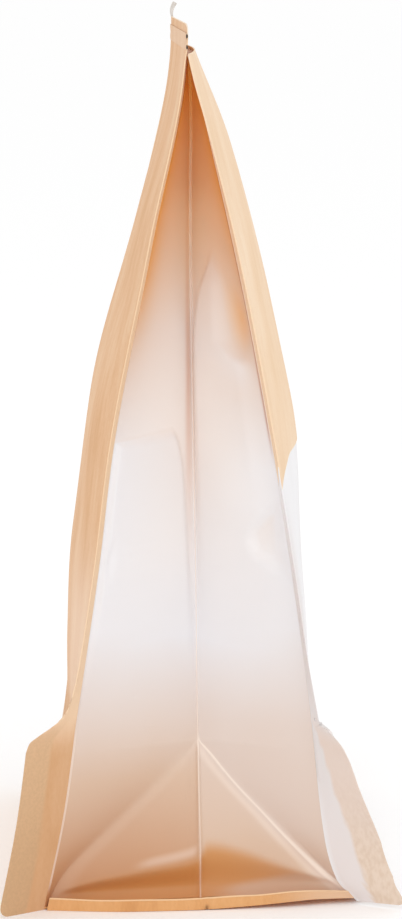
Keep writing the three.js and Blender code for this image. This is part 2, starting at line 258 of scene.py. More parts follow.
class Finish:
    """A node material around one Principled shader."""

    def __init__(self, name, roughness, **constants):
        self.material = bpy.data.materials.new(name)
        self.material.use_nodes = True
        self.tree = self.material.node_tree
        self.shader = self.tree.nodes["Principled BSDF"]
        self.shader.inputs["Roughness"].default_value = roughness
        for socket, value in constants.items():
            self.shader.inputs[socket.replace("_", " ")].default_value = value

    def add(self, kind, inputs=None, **settings):
        """A node with its inputs set to values or linked from sockets."""
        node = self.tree.nodes.new(kind)
        for name, value in settings.items():
            setattr(node, name, value)
        for name, value in (inputs or {}).items():
            self.give(node.inputs[name], value)
        return node

    def give(self, socket, value):
        """Links a socket to an input, or sets it to a value."""
        if isinstance(value, bpy.types.NodeSocket):
            self.tree.links.new(value, socket)
        else:
            socket.default_value = value

    def field(self, name, strength=1.0):
        """The numbers written on the mesh under a name, times a strength."""
        numbers = self.add("ShaderNodeAttribute", attribute_name=name).outputs["Fac"]
        return self.math("MULTIPLY", numbers, strength)

    def noise(self, scale, stretch=(1, 1, 1), detail=3, rough=0.5):
        """Noise in object space, with its grain stretched by different scales along the axes."""
        place = self.add("ShaderNodeTexCoord").outputs["Object"]
        mapped = self.add("ShaderNodeMapping", {"Vector": place, "Scale": stretch}).outputs["Vector"]
        inputs = {"Vector": mapped, "Scale": scale, "Detail": detail, "Roughness": rough}
        return self.add("ShaderNodeTexNoise", inputs).outputs["Fac"]

    def math(self, operation, first, second=0.0, third=0.0):
        """One step of arithmetic on values or sockets."""
        inputs = {0: first, 1: second, 2: third}
        return self.add("ShaderNodeMath", inputs, operation=operation).outputs[0]

    def spread(self, value, low, high, to_low=0.0, to_high=1.0):
        """The value moved from one range to another, and kept within it."""
        inputs = {"Value": value, "From Min": low, "From Max": high, "To Min": to_low, "To Max": to_high}
        return self.add("ShaderNodeMapRange", inputs).outputs["Result"]

    def mix(self, share, first, second, blend="MIX"):
        """The first colour with a share of the second."""
        node = self.add("ShaderNodeMix", data_type="RGBA", blend_type=blend)
        self.give(node.inputs[0], share)
        self.give(node.inputs[6], first)
        self.give(node.inputs[7], second)
        return node.outputs[2]

    def ramp(self, value, *stops):
        """A colour by a value, through (place, colour) stops."""
        node = self.add("ShaderNodeValToRGB", {"Fac": value})
        elements = node.color_ramp.elements
        elements[0].position, elements[0].color = stops[0]
        elements[1].position, elements[1].color = stops[-1]
        for place, colour in stops[1:-1]:
            elements.new(place).color = colour
        return node.outputs["Color"]

    def bump(self, height, strength, distance):
        """Fine relief, in millimetres, given to the shader's normal."""
        inputs = {"Height": height, "Strength": strength, "Distance": distance * MM}
        self.give(self.shader.inputs["Normal"], self.add("ShaderNodeBump", inputs).outputs["Normal"])

    def colour(self, value):
        """Gives a colour to the shader."""
        self.give(self.shader.inputs["Base Color"], value)


def kraft_grain(finish, light, middle, dark):
    """Uncoated paper: long soft streaks up the sheet, fine fibres across them and a few dark flecks."""
    broad = finish.noise(60, (1, 1, 0.3), 3, 0.5)
    streaks = finish.noise(300, (1, 1, 0.1), 4, 0.6)
    fibres = finish.noise(1500, (1, 1, 0.35), 3, 0.6)
    flecks = finish.noise(2600, (1, 1, 0.4), 1)
    tone = finish.math("MULTIPLY_ADD", streaks, 0.3, finish.math("MULTIPLY", fibres, 0.2))
    tone = finish.math("MULTIPLY_ADD", broad, 0.5, tone)
    colour = finish.ramp(tone, (0.34, dark), (0.5, middle), (0.66, light))
    fleck = finish.spread(flecks, 0.70, 0.76, 0.0, 0.2)
    return finish.mix(fleck, colour, rgb(168, 120, 78)), fibres, streaks


def kraft_finish(name, light, middle, dark, worn, foot, sealed, fin, cut):
    """Kraft whose mesh tells its worn parts, feet, sealed bands, fins and cut edges apart."""
    finish = Finish(name, 0.72, Specular_IOR_Level=0.3)
    colour, fibres, streaks = kraft_grain(finish, light, middle, dark)
    hatch = finish.spread(finish.noise(1300, (1, 1, 1), 2), 0.35, 0.65, 0.95, 1.03)
    colour = finish.mix(finish.field("worn", 0.55), colour, worn)
    colour = finish.mix(finish.field("foot", 0.45), colour, foot)
    colour = finish.mix(finish.field("fin", 0.75), colour, fin)
    band = finish.mix(finish.spread(finish.field("low"), 0.0, 1.0, 0.35, 0.05), sealed, light)
    hatched = finish.mix(1.0, band, hatch, "MULTIPLY")
    colour = finish.mix(finish.field("sealed", 0.85), colour, hatched)
    colour = finish.mix(finish.field("cut"), colour, cut)
    finish.colour(colour)
    finish.bump(finish.math("ADD", fibres, streaks), 0.35, 0.05)
    return finish.material


# The film is white. The tan and peach towards its base and the peach, orange and gold towards its mouth are
# painted shade; the crease's whiter and cream colours are painted light, so it stays light for longer
FILM_WHITE = rgb(234, 232, 234)
CREASE_LIGHT_WHITE = rgb(246, 240, 236)
BASE_SHADE_TAN = rgb(190, 130, 80)
BASE_SHADE_PEACH = rgb(212, 182, 158)
MOUTH_SHADE_PEACH = rgb(222, 188, 160)
MOUTH_LIGHT_CREAM = rgb(248, 230, 205)
MOUTH_SHADE_ORANGE = rgb(228, 156, 66)
MOUTH_SHADE_GOLD = rgb(240, 185, 90)
SEAM_COLOURS = (
    (0, BASE_SHADE_TAN),
    (35, BASE_SHADE_PEACH),
    (80, FILM_WHITE),
    (125, FILM_WHITE),
    (170, MOUTH_SHADE_PEACH),
    (205, MOUTH_SHADE_ORANGE),
)
CREASE_COLOURS = (
    (0, BASE_SHADE_TAN),
    (35, BASE_SHADE_PEACH),
    (75, FILM_WHITE),
    (130, CREASE_LIGHT_WHITE),
    (165, CREASE_LIGHT_WHITE),
    (200, MOUTH_LIGHT_CREAM),
    (235, MOUTH_SHADE_GOLD),
)


def up_the_film(colours):
    """Colours at heights as stops of a ramp from the floor to the front panel's top."""
    return [(height / FRONT_TOP, colour) for height, colour in colours]


def film_finish():
    """Satin white film with painted shade towards the mouth and the base, painted light along its crease and
    painted highlights along its fold lines.
    """
    finish = Finish("side_film", 0.42, Specular_IOR_Level=0.45)
    cloud = finish.spread(finish.noise(30, (1, 1, 0.6), 2), 0.3, 0.7, -0.008, 0.008)
    level = finish.math("ADD", finish.field("level"), cloud)
    at_seam = finish.ramp(level, *up_the_film(SEAM_COLOURS))
    at_crease = finish.ramp(level, *up_the_film(CREASE_COLOURS))
    # Towards the crease, the crease's colours, which carry painted light.
    colour = finish.mix(finish.field("deep"), at_seam, at_crease)
    # Painted shade where the film turns in behind the base strip's lip.
    colour = finish.mix(finish.field("tuck"), colour, rgb(208, 148, 88))
    # Painted highlights along the fold lines and on the film held on the fins.
    colour = finish.mix(finish.field("pale"), colour, rgb(246, 230, 216))
    # Painted shade in a band beside the crease on the back half.
    colour = finish.mix(finish.field("warm"), colour, rgb(222, 168, 134))
    # Painted shadow lines along the seams.
    colour = finish.mix(finish.field("line"), colour, rgb(176, 100, 42))
    finish.colour(colour)
    finish.bump(finish.noise(1400, (1, 1, 1), 2), 0.12, 0.02)
    return finish.material


def window_finish():
    """Frosted film, with painted shade near its seams, greyer low on its feet, and tan sealed bands that
    turn paler upwards.
    """
    finish = Finish("window_film", 0.38, Specular_IOR_Level=0.5)
    cloud = finish.noise(45, (1, 1, 0.4), 2)
    white = finish.ramp(cloud, (0.35, rgb(230, 228, 229)), (0.65, rgb(238, 237, 239)))
    grain = finish.noise(900, (1, 1, 0.5), 2)
    # The sealed bands are kraft seen through the film, paler than the back's by a painted sheen.
    sealed = finish.ramp(grain, (0.35, rgb(217, 194, 173)), (0.65, rgb(225, 205, 187)))
    upper = finish.spread(finish.field("low"), 0.0, 1.0, 0.85, 0.0)
    sealed = finish.mix(upper, sealed, rgb(234, 221, 213))
    # Painted shade near the seams.
    white = finish.mix(finish.field("edge"), white, rgb(216, 203, 197))
    white = finish.mix(finish.field("low", 0.55), white, rgb(218, 202, 195))
    finish.colour(finish.mix(finish.field("sealed"), white, sealed))
    finish.bump(finish.noise(1800, (1, 1, 1), 2), 0.15, 0.02)
    return finish.material


def strip_finish():
    """The kraft of the base's rims, a little deeper in colour, with a painted highlight along its lip, paler
    towards the near rim's front end and with painted shade in its crease.
    """
    finish = Finish("base_kraft", 0.68, Specular_IOR_Level=0.3)
    colour, fibres, _ = kraft_grain(finish, rgb(230, 178, 124), rgb(222, 167, 111), rgb(209, 150, 94))
    # Paler towards the near rim's front end.
    colour = finish.mix(finish.field("paler_front_end"), colour, rgb(224, 186, 152))
    # Painted highlight along the lip.
    colour = finish.mix(finish.field("lip", 0.6), colour, rgb(245, 216, 176))
    # Painted shade at the bottom of the near rim's crease.
    finish.colour(finish.mix(finish.field("notch_shade"), colour, rgb(120, 78, 44)))
    finish.bump(fibres, 0.3, 0.04)
    return finish.material


def tie_finish():
    """Paper-covered strip, smoother and pinker than the bag's kraft."""
    finish = Finish("tie_paper", 0.6, Specular_IOR_Level=0.35)
    colour, fibres, _ = kraft_grain(finish, rgb(229, 193, 159), rgb(224, 185, 148), rgb(217, 175, 137))
    finish.colour(colour)
    finish.bump(fibres, 0.25, 0.03)
    return finish.material


def wire_finish():
    """Dark wire with brighter scuffs."""
    finish = Finish("tie_wire", 0.5, Metallic=0.3)
    scuffs = finish.noise(700, (1, 0.05, 1), 3)
    finish.colour(finish.ramp(scuffs, (0.4, rgb(52, 36, 24)), (0.7, rgb(92, 72, 54))))
    finish.bump(scuffs, 0.3, 0.02)
    return finish.material


def lining_finish(name, dark, light):
    """Thin dull sheet, slightly mottled: greyish lining for the curl, brown painted shade for the sheet
    across the mouth.
    """
    finish = Finish(name, 0.5, Specular_IOR_Level=0.4)
    mottle = finish.noise(600, (1, 1, 1), 3)
    finish.colour(finish.ramp(mottle, (0.35, dark), (0.65, light)))
    finish.bump(mottle, 0.2, 0.02)
    return finish.material


# The back and the front panel are one kraft: the back copy is darker as painted shade and the front copy
# lighter as painted light, and the front's sealed colour also carries a painted sheen.
SHADED_BACK_KRAFT = kraft_finish(
    "shaded_back_kraft", light=rgb(231, 195, 158), middle=rgb(223, 179, 138), dark=rgb(212, 163, 116),
    worn=rgb(240, 214, 192), foot=rgb(196, 148, 104), sealed=rgb(200, 163, 124),
    fin=rgb(237, 208, 174), cut=rgb(238, 220, 198),
)
LIT_FRONT_KRAFT = kraft_finish(
    "lit_front_kraft", light=rgb(242, 218, 190), middle=rgb(237, 208, 176), dark=rgb(232, 200, 164),
    worn=rgb(237, 208, 176), foot=rgb(237, 208, 176), sealed=rgb(226, 206, 190),
    fin=rgb(240, 212, 180), cut=rgb(246, 226, 200),
)
SIDE_FILM = film_finish()
WINDOW_FILM = window_finish()
BASE_KRAFT = strip_finish()
TIE_PAPER = tie_finish()
TIE_WIRE = wire_finish()
LINING = lining_finish("lining", rgb(202, 192, 182), rgb(220, 212, 204))
# The brown across the mouth is painted shade.
MOUTH_SHADE = lining_finish("mouth_shade_sheet", rgb(176, 128, 92), rgb(196, 146, 108))


# ---- Panels ----

FIN_STEPS = 18
ARCH_STEPS = 64


def panel_columns():
    """For each column of a panel: the end whose fin it is on, or 0, and its share of the fin or width."""
    tip_to_seam = 1 - np.linspace(0, 1, FIN_STEPS, endpoint=False) ** 1.5
    across = np.linspace(-1, 1, ARCH_STEPS + 1)
    ends = np.concatenate([-np.ones(FIN_STEPS), np.zeros(ARCH_STEPS + 1), np.ones(FIN_STEPS)])
    shares = np.concatenate([tip_to_seam, across, tip_to_seam[::-1]])
    return ends, shares


def corner_rise(shares, ends, width, reach, rise):
    """How far a rounded corner moves a fin's edge, by the distance from its tip."""
    from_tip = np.where(ends == 0, 1, np.clip((1 - shares) * width / reach, 0, 1))
    return rise * (1 - np.sqrt(1 - (1 - from_tip) ** 2))


def panel_grid(side, z, ends, shares, inset=0.0):
    """Points of a panel's face. z has a row for each level and a column for each of the panel's."""
    x = panel_x(side, z, np.where(ends == 0, shares, 1)[None, :])
    y = MIDDLE_Y + HALF_WIDTH * np.broadcast_to(shares, z.shape)
    for end in (-1, 1):
        fin_x, fin_y = fin_point(side, end, z, shares[None, :] * fin_width(side, z))
        on_fin = np.broadcast_to(ends == end, z.shape)
        x = np.where(on_fin, fin_x, x)
        y = np.where(on_fin, fin_y, y)
    grid = np.stack([x, y, z], 2)
    if side == "back":
        grid = grid[:, ::-1]
    return grid - surface_normals(grid) * inset


EDGE_BAND = 0.35  # width of the pale line along a cut edge


def panel_levels(low, high):
    """Rows between two edges, closer together round the feet's shoulders, the corners and the edges."""
    wanted = np.concatenate([
        np.linspace(0, 6, 10),
        np.linspace(8, 43, 12),
        np.linspace(44, 58, 43),
        np.linspace(60, HEADER_TOP, 80),
    ])
    inner = wanted[(wanted > low + 2 * EDGE_BAND) & (wanted < high - 2 * EDGE_BAND)]
    return np.concatenate([[low, low + EDGE_BAND], inner, [high - EDGE_BAND, high]])


SEAL_EDGE = {  # share of a foot's width, from its seam, where its sealed band starts
    "back": curve((0, 0.42), (50, 0.5)),
    "front": curve(
        (2, 0.37), (5, 0.43), (9, 0.52), (15, 0.5), (24, 0.46), (33, 0.38), (44, 0.28), (54, 0.12),
    ),
}


def sealed_share(side, z, ends, shares):
    """1 on the sealed outer band of each foot, 0 on its inner band and above the feet."""
    on_foot = ease(FOOT_END, FOOT_SHOULDER, z) * (ends != 0)[None, :]
    edge = SEAL_EDGE[side](z)
    return on_foot * ease(edge - 0.02, edge + 0.02, np.broadcast_to(np.abs(shares), z.shape))


# How far the front kraft's lower edge is above the frame's level one, by the distance in from a seam.
# It dips to a point at the seam.
kraft_dip = curve((0, -5.8), (6, -2.2), (12, 0.4), (25, 3.7), (45, 3.9))
KRAFT_FIN_RISE = 9  # and how far it rises again over a fin


def from_near_seam(ends, shares):
    """Distance in from the nearer seam, and 0 on the fins."""
    return np.where(ends == 0, (1 - np.abs(shares)) * HALF_WIDTH, 0)


def window_edge(ends, shares):
    """How far above the frame's level edge the front kraft's lower edge runs."""
    dip = kraft_dip(from_near_seam(ends, shares))
    return np.where(ends == 0, dip, kraft_dip(0) + KRAFT_FIN_RISE * shares)


def panel_fields(side, z, ends, shares, lower_cut):
    """What a panel's material reads: where its bands, fins, cut edges, feet and worn parts are, and its
    painted shade near the seams.
    """
    on_fin = (ends != 0)[None, :]
    from_seam = from_near_seam(ends, shares)[None, :]
    cut = np.zeros(z.shape)
    cut[-1, :] = 1
    cut[0, :] = lower_cut
    return {
        "sealed": sealed_share(side, z, ends, shares),
        "fin": on_fin * ease(0.02, 0.12, np.abs(shares))[None, :] * ease(45, 62, z),
        "cut": cut,
        "foot": ease(58, 45, z),
        "worn": ease(112, 76, z) * ease(44, 62, z) * ease(60, 25, from_seam),
        # Painted shade near the seams, which the window's film reads.
        "edge": 0.7 * ease(28, 2, from_seam) * ease(130, 85, z) * ease(52, 84, z),
        "low": ease(46, 10, z) * on_fin,
    }


def make_panel(name, side, edges, material, replaced, inset=0.0, thickness=PAPER, lower_cut=False):
    """A panel with its fins. Its edges are its lower and upper heights for each column, as a function."""
    ends, shares = panel_columns()
    bottom, top = edges(ends, shares)
    low, high = float(np.min(bottom)), float(np.max(top))
    levels = panel_levels(low, high)
    share_up = ((levels - low) / (high - low))[:, None]
    z = bottom[None, :] + (top - bottom)[None, :] * share_up
    grid = panel_grid(side, z, ends, shares, inset)
    fields = panel_fields(side, z, ends, shares, lower_cut)
    if side == "back":
        fields = {field: values[:, ::-1] for field, values in fields.items()}
    piece = sheet(name, grid, thickness, material, fields)
    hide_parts(replaced)


def foot_edge(side, ends, shares):
    """The lower edge of a panel, whose feet have rounded corners that stand a little off the ground."""
    tip_lift = np.where(ends == 0, 0, FOOT_TIP_LIFT[side] * shares)
    return FOOT_LIFT[side] + tip_lift + corner_rise(shares, ends, FOOT_WIDTH, FOOT_ROUND, FOOT_ROUND)


def back_edges(ends, shares):
    """The back panel ends in the header's cut edge, whose near corner is rounded off over a longer way."""
    on_fin = (1 - shares) * FIN_WIDTH
    from_tip = np.where(ends == 0, FIN_WIDTH + (1 - np.abs(shares)) * HALF_WIDTH, on_fin)
    near = (ends < 0) | ((ends == 0) & (shares < 0))
    reach = np.where(near, HEADER_NEAR_REACH, HEADER_FAR_REACH)
    missing = np.clip(1 - from_tip / reach, 0, 1)
    return foot_edge("back", ends, shares), HEADER_TOP - HEADER_DROP * (1 - np.sqrt(1 - missing**2))


FRONT_CORNER_REACH = 2
FRONT_CORNER_RISE = 1.5
WINDOW_LAP = 6  # how far the window's film runs up behind the front kraft, away from the seams


def front_edges(ends, shares):
    """The front kraft ends above in a cut edge with small rounded corners."""
    corner = corner_rise(shares, ends, FIN_WIDTH, FRONT_CORNER_REACH, FRONT_CORNER_RISE)
    return WINDOW_TOP + window_edge(ends, shares), FRONT_TOP - corner


def window_edges(ends, shares):
    """The window's film stands on the front feet and ends above behind the front kraft."""
    lap = 0.4 + WINDOW_LAP * ease(0, 8, from_near_seam(ends, shares))
    return foot_edge("front", ends, shares), WINDOW_TOP + window_edge(ends, shares) + lap


make_panel("kraft_back", "back", back_edges, SHADED_BACK_KRAFT, "back_panel")
make_panel("kraft_front", "front", front_edges, LIT_FRONT_KRAFT, "front_panel", lower_cut=True)
make_panel(
    "window_sheet", "front", window_edges, WINDOW_FILM, "front_window",
    inset=PAPER + 0.05, thickness=FILM,
)


# ---- Side folds ----

HELD_STEPS = 6
HALF_SHARES = np.concatenate([
    [0, 0.008, 0.016, 0.026, 0.038, 0.052, 0.07], np.linspace(0.09, 0.955, 44), [0.968, 0.98, 0.99],
])
CREASE_STEPS = 26
INNER_SHARES = ease(0, 1, np.linspace(0, 1, CREASE_STEPS + 1))  # closer together at both ends
FIN_HOLD = 0.5  # how far the film runs out onto a fin's inner face
FILM_INSET = PAPER + 0.12
LIP_TOP = 3.6  # the base strip's lip stands this high in front of the near fold

# How far the base's near edge is lifted off the ground, along x
near_lift = curve((-46, 0.05), (-5, 0.15), (14, 0.9), (25, 1.6), (31, 1.9), (46, 1.6))


def between(first, second, shares):
    """Points from one line of points to another, a column for each share."""
    return first[:, None, :] + (second - first)[:, None, :] * shares[None, :, None]


# Share of the way from its seam to the middle that a slanting base crease has come at each height
slant_rise = curve((0, 0), (5, 0.03), (10, 0.09), (22.5, 0.39), (35, 0.745), (FOLD_APEX, 1))


def fold_lines(z):
    """The lines that a side fold is stretched between, as x and depth into the bag at each height."""
    rise = slant_rise(z)
    depth = fold_depth(z)
    back = back_seam(z) + FILM_INSET
    front = front_seam(z) - FILM_INSET
    crease = crease_x(z)
    slant_back = back + (np.maximum(crease - CREASE_HALF, back) - back) * rise
    slant_front = front + (np.minimum(crease + CREASE_HALF, front) - front) * rise
    line = {"back": (back, 0 * z), "slant_back": (slant_back, depth), "crease": (crease, depth)}
    line.update({"slant_front": (slant_front, depth), "front": (front, 0 * z)})
    for side, outwards in (("back", -1), ("front", 1)):
        x, y = fin_point(side, -1, z, FIN_HOLD)
        lean = np.radians(FIN_LEAN[side, -1](z))
        y = y - np.sin(lean) * FILM_INSET
        line[side + "_fin"] = (x - outwards * np.cos(lean) * FILM_INSET, y - NEAR_Y)
    return {name: np.stack(pair, 1) for name, pair in line.items()}


def fold_columns(z):
    """A side fold's section at each height, from the back fin over the crease to the front fin."""
    line = fold_lines(z)
    held = np.linspace(0, 1, HELD_STEPS, endpoint=False)
    inner = INNER_SHARES[:-1]
    return np.concatenate([
        between(line["back_fin"], line["back"], held),
        between(line["back"], line["slant_back"], HALF_SHARES),
        between(line["slant_back"], line["crease"], inner),
        between(line["crease"], line["slant_front"], inner),
        between(line["front"], line["slant_front"], HALF_SHARES)[:, ::-1],
        between(line["front"], line["front_fin"], np.linspace(0, 1, HELD_STEPS + 1)[1:]),
    ], axis=1)


def fold_places():
    """Two places for each column.

    The first is 0 at the crease and 1 at the seam, negative on the back half and past 1 on a fin.
    The second is where it is between the two slanting creases, from -1 to 1.
    """
    on_fin = np.linspace(2, 1, HELD_STEPS, endpoint=False)
    half = 1 - HALF_SHARES
    inner = INNER_SHARES[:-1] - 1
    spot = np.concatenate([-on_fin, -half, np.zeros(2 * CREASE_STEPS), half[::-1], on_fin[::-1]])
    slant = np.concatenate([
        -np.ones(HELD_STEPS + len(half)), inner, inner + 1,
        np.ones(len(half) + HELD_STEPS),
    ])
    return spot[None, :], slant[None, :]


def soften(section, passes, share):
    """Rounds the section's corners by averaging neighbours along it, where the share is 1."""
    for _ in range(passes):
        mean = (section[:, :-2] + section[:, 2:]) / 2
        section[:, 1:-1] += (mean - section[:, 1:-1]) * 0.5 * share[:, 1:-1, None]
    return section


def outward(section):
    """Unit directions out of the fold's groove, square to the section."""
    along = np.gradient(section, axis=1)
    normal = np.stack([along[..., 1], -along[..., 0]], 2)
    return normal / np.maximum(np.linalg.norm(normal, axis=2, keepdims=True), 1e-9)


# Height under which the film turns in behind the base strip's lip, between the two slanting creases
tuck_top = curve(
    (-1, 5.2), (-0.8, 7.5), (-0.4, 10.2), (-0.04, 13.2), (0.08, 17.5), (0.4, 15.6), (0.8, 10), (1, 6),
)

# Where the near fold's back half has a flat patch, pressed out: its upper edge and its inner edge
PATCH_TOP = 133.5
patch_inner = curve((50, 0.02), (78, 0.04), (96, 0.08), (110, 0.11), (122, 0.14), (130, 0.2), (135, 0.3))


def flat_patch(spot, z):
    """1 on the back half's pressed-out patch."""
    inside = ease(patch_inner(z) - 0.04, patch_inner(z) + 0.05, -spot)
    return inside * ease(PATCH_TOP + 0.8, PATCH_TOP - 1.2, z) * (spot < 0)


def tongue(spot, z):
    """1 on the front half's long soft ridge, which spreads below it into the lit part of the film."""
    left = curve((150, 0.0), (161, 0.02), (171, 0.12), (186, 0.44))(z)
    right = curve((147, 1.05), (155, 0.89), (157, 0.70), (161, 0.52), (178, 0.56), (185, 0.5))(z)
    inside = ease(left - 0.06, left + 0.12, spot) * ease(right + 0.14, right - 0.12, spot)
    return inside * ease(190, 175, z) * ease(1.0, 0.72, spot) * (spot > 0) * ease(70, 140, z)


def hollow(spot, z):
    """1 in the soft hollow between the long ridge and the front seam."""
    return hump(0.8, 0.26, spot) * hump(167, 15, z)


def dimple(spot, z):
    """1 in the front half's V-shaped dent, which opens towards the front seam."""
    from_tip = spot - 0.55
    upper = 104 + from_tip * 31
    lower = 103 - from_tip * 16
    inside = ease(upper + 1.5, upper - 2.5, z) * ease(lower - 3.5, lower + 1.5, z)
    return inside * ease(0.0, 0.14, from_tip) * ease(1.0, 0.8, spot)


WRINKLES = (  # height, and the places on its half where each faint line starts and ends
    (102.6, -0.85, -0.4), (99.6, -0.85, -0.3), (95.5, -0.75, -0.4), (99.6, 0.1, 0.5), (97.2, 0.1, 0.5),
    (59.5, -0.6, -0.4), (51.0, -0.5, -0.3),
)


def wrinkles(spot, z):
    """Faint level lines across the near fold, in millimetres."""
    lines = 0
    for height, low, high in WRINKLES:
        across = ease(low, low + 0.1, spot) * ease(high, high - 0.1, spot)
        lines = lines + across * hump(height + 1.2 * spot, 0.9, z)
    return 0.16 * lines


def near_relief(spot, z):
    """How far the near fold's film stands out of its flat shape, in millimetres."""
    relief = 1.3 * flat_patch(spot, z) * ease(60, 95, z)
    relief += 1.8 * tongue(spot, z) - 1.3 * hollow(spot, z)
    relief -= 1.6 * dimple(spot, z)
    relief += 1.2 * hump(0.45, 0.45, spot) * hump(116, 16, z)
    relief -= 0.8 * hump(-0.93, 0.07, spot) * hump(100, 8, z)
    relief += wrinkles(spot, z)
    return relief


def far_relief(spot, z):
    """The far fold has two shallow dents of its own."""
    return 1.2 * hump(0.5, 0.4, spot) * hump(95, 30, z) - 1.0 * hump(-0.5, 0.35, spot) * hump(130, 28, z)


def from_slant(spot, slant, z):
    """Millimetres from a slanting base crease: positive on its half, negative on the triangle."""
    line = fold_lines(z[:, 0])
    spans = {}
    for side in ("back", "front"):
        length = np.linalg.norm(line["slant_" + side] - line[side], axis=1)[:, None]
        width = np.abs(line["slant_" + side][:, 0] - line["crease"][:, 0])[:, None]
        spans[side] = np.where(np.abs(slant) < 1, -(1 - np.abs(slant)) * width, np.abs(spot) * length)
    return np.where(slant > 0, spans["front"], spans["back"])


def base_relief(z, from_crease):
    """The fold line up the middle of the base's triangle."""
    below = ease(FOLD_APEX + 1, FOLD_APEX - 3, z)
    return below * (0.6 * hump(0, 0.7, from_crease) - 0.3 * hump(-1.8, 1.8, from_crease))


def fold_levels():
    """Rows up a side fold, closest together over the base, where its film turns in."""
    top = FRONT_TOP - 1
    return np.concatenate([np.linspace(0.9, 16, 40), np.linspace(16.5, 62, 74), np.linspace(62.7, top, 166)])


TUCK_DEPTH = 5.5  # how far the film turns in behind the base strip's lip
CREASE_RIB = 0.25  # how far the crease's fine rib stands out


def make_fold(name, end, relief_of, fields_of):
    """One side fold as a thin film with its crease, slanting base creases, relief and tuck over the base."""
    z = fold_levels()
    spot, slant = fold_places()
    flat = fold_columns(z)
    level = np.broadcast_to(z[:, None], flat.shape[:2])
    away = np.abs(spot)
    flat = soften(flat, 2, np.ones(level.shape))
    on_base = ease(FOLD_APEX, FOLD_APEX - 5, level) * ease(0.9, 0.7, away) * ease(0.05, 0.3, np.abs(slant))
    flat = soften(flat, 50, on_base)
    edge_fade = ease(1.0, 0.95, away) * ease(0.0, 0.03, away)
    section = flat + outward(flat) * (relief_of(spot, level) * edge_fade)[..., None]
    from_fold = from_slant(spot, slant, level)
    from_crease = flat[..., 0] - crease_x(level)
    rib = CREASE_RIB * ease(FOLD_APEX - 2, FOLD_APEX + 3, level) * hump(0, 0.3, from_crease)
    tuck = TUCK_DEPTH * ease(tuck_top(slant), LIP_TOP, level) * (1 - np.abs(slant)) ** 0.6
    section[..., 1] -= rib + base_relief(level, from_crease) - tuck
    y = MIDDLE_Y + end * (HALF_WIDTH - section[..., 1])
    lift = near_lift(section[..., 0]) * ease(14, 1, level) * (end < 0)
    grid = np.stack([section[..., 0], y, level + lift], 2)
    fields = fields_of(spot, slant, level, from_fold, from_crease)
    if end > 0:
        grid = grid[:, ::-1]
        fields = {field: values[:, ::-1] for field, values in fields.items()}
    piece = sheet(name, grid, FILM, SIDE_FILM, fields)
    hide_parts("film_body")


# Height whose colour the front half has at each height. It is whiter than the back half over the base, as
# painted light.
front_colour_height = curve(
    (0, 50), (6, 46), (12, 43), (22, 47), (40, 50), (50, 53), (60, 62), (72, 73), (243, 243),
)

# How strong the tuck's painted shade is, between the two slanting creases
tuck_shade_strength = curve(
    (-1, 0.3), (-0.7, 0.75), (-0.2, 0.95), (0.1, 0.95), (0.4, 0.85), (0.7, 0.55), (1, 0.15),
)


def tuck_shade_share(slant, z):
    """How much of the tuck's painted shade shows: only in the triangle, and less low down on its front half.
    """
    tuck = tuck_shade_strength(slant) * ease(tuck_top(slant) + 1.5, tuck_top(slant) - 4, z) * (np.abs(slant) < 1)
    low_front = ease(0, -3, z - 4 - 6 * slant) * ease(0, 0.3, slant)
    return tuck * (1 - 0.9 * low_front)


def highlight_share(spot, slant, z, from_fold, from_crease):
    """How strong the painted highlights are: along the fold lines and on the film that is held on the fins.
    """
    above = ease(FOLD_APEX - 1, FOLD_APEX + 2, z)
    crease = above * 0.7 * hump(0, 0.28, from_crease) * ease(228, 200, z)
    middle_line = (1 - above) * 0.7 * hump(0, 0.4, from_crease)
    front_slant = (0.9 * hump(0, 0.4, from_fold) + 0.3 * hump(-2.2, 2.4, from_fold)) * (slant > 0)
    back_slant = 0.08 * hump(0, 4, from_fold) * (slant < 0)
    mouth_fin = 0.8 * ease(1.0, 1.15, spot) * ease(126, 140, z)
    feet = 0.6 * ease(1.0, 1.2, np.abs(spot)) * ease(62, 42, z) * ease(4, 9, z)
    return np.clip(crease + middle_line + (1 - above) * (front_slant + back_slant) + mouth_fin + feet, 0, 1)


def seam_shadow_share(spot, z):
    """How strong the painted shadow lines along the two seams are, which fade out downwards."""
    front = 0.6 * ease(0.97, 0.985, spot) * (spot <= 1) * ease(126, 140, z)
    back = ease(-0.98, -0.995, spot) * ease(205, 236, z)
    return np.clip(front + back, 0, 1)


def plain_fields(spot, slant, z, from_fold, from_crease):
    """Colours of a side fold without dents, painted light and shade included: where each point is along the
    film's two colour ramps.
    """
    in_triangle = np.where(spot == 0, 0.6 + 0.4 * slant**8, 1)
    towards_front = ease(-0.02, 0.02, spot + 0.5 * slant) * in_triangle
    level = z + (front_colour_height(z) - z) * towards_front
    return {
        "level": level / FRONT_TOP,
        "deep": np.broadcast_to(np.clip(1 - spot**2, 0, 1), z.shape),
        "tuck": tuck_shade_share(slant, z),
        "pale": highlight_share(spot, slant, z, from_fold, from_crease),
        # Painted shade beside the crease on the back half.
        "warm": 0.45 * hump(-0.05, 0.07, spot) * (spot < 0) * hump(150, 65, z),
        "line": seam_shadow_share(spot, z),
    }


# The flat patch is painted light: its colour is kept at the film's white.
LIT_PATCH_LEVEL = 0.44  # the flat patch has the film's colour at this share of its height


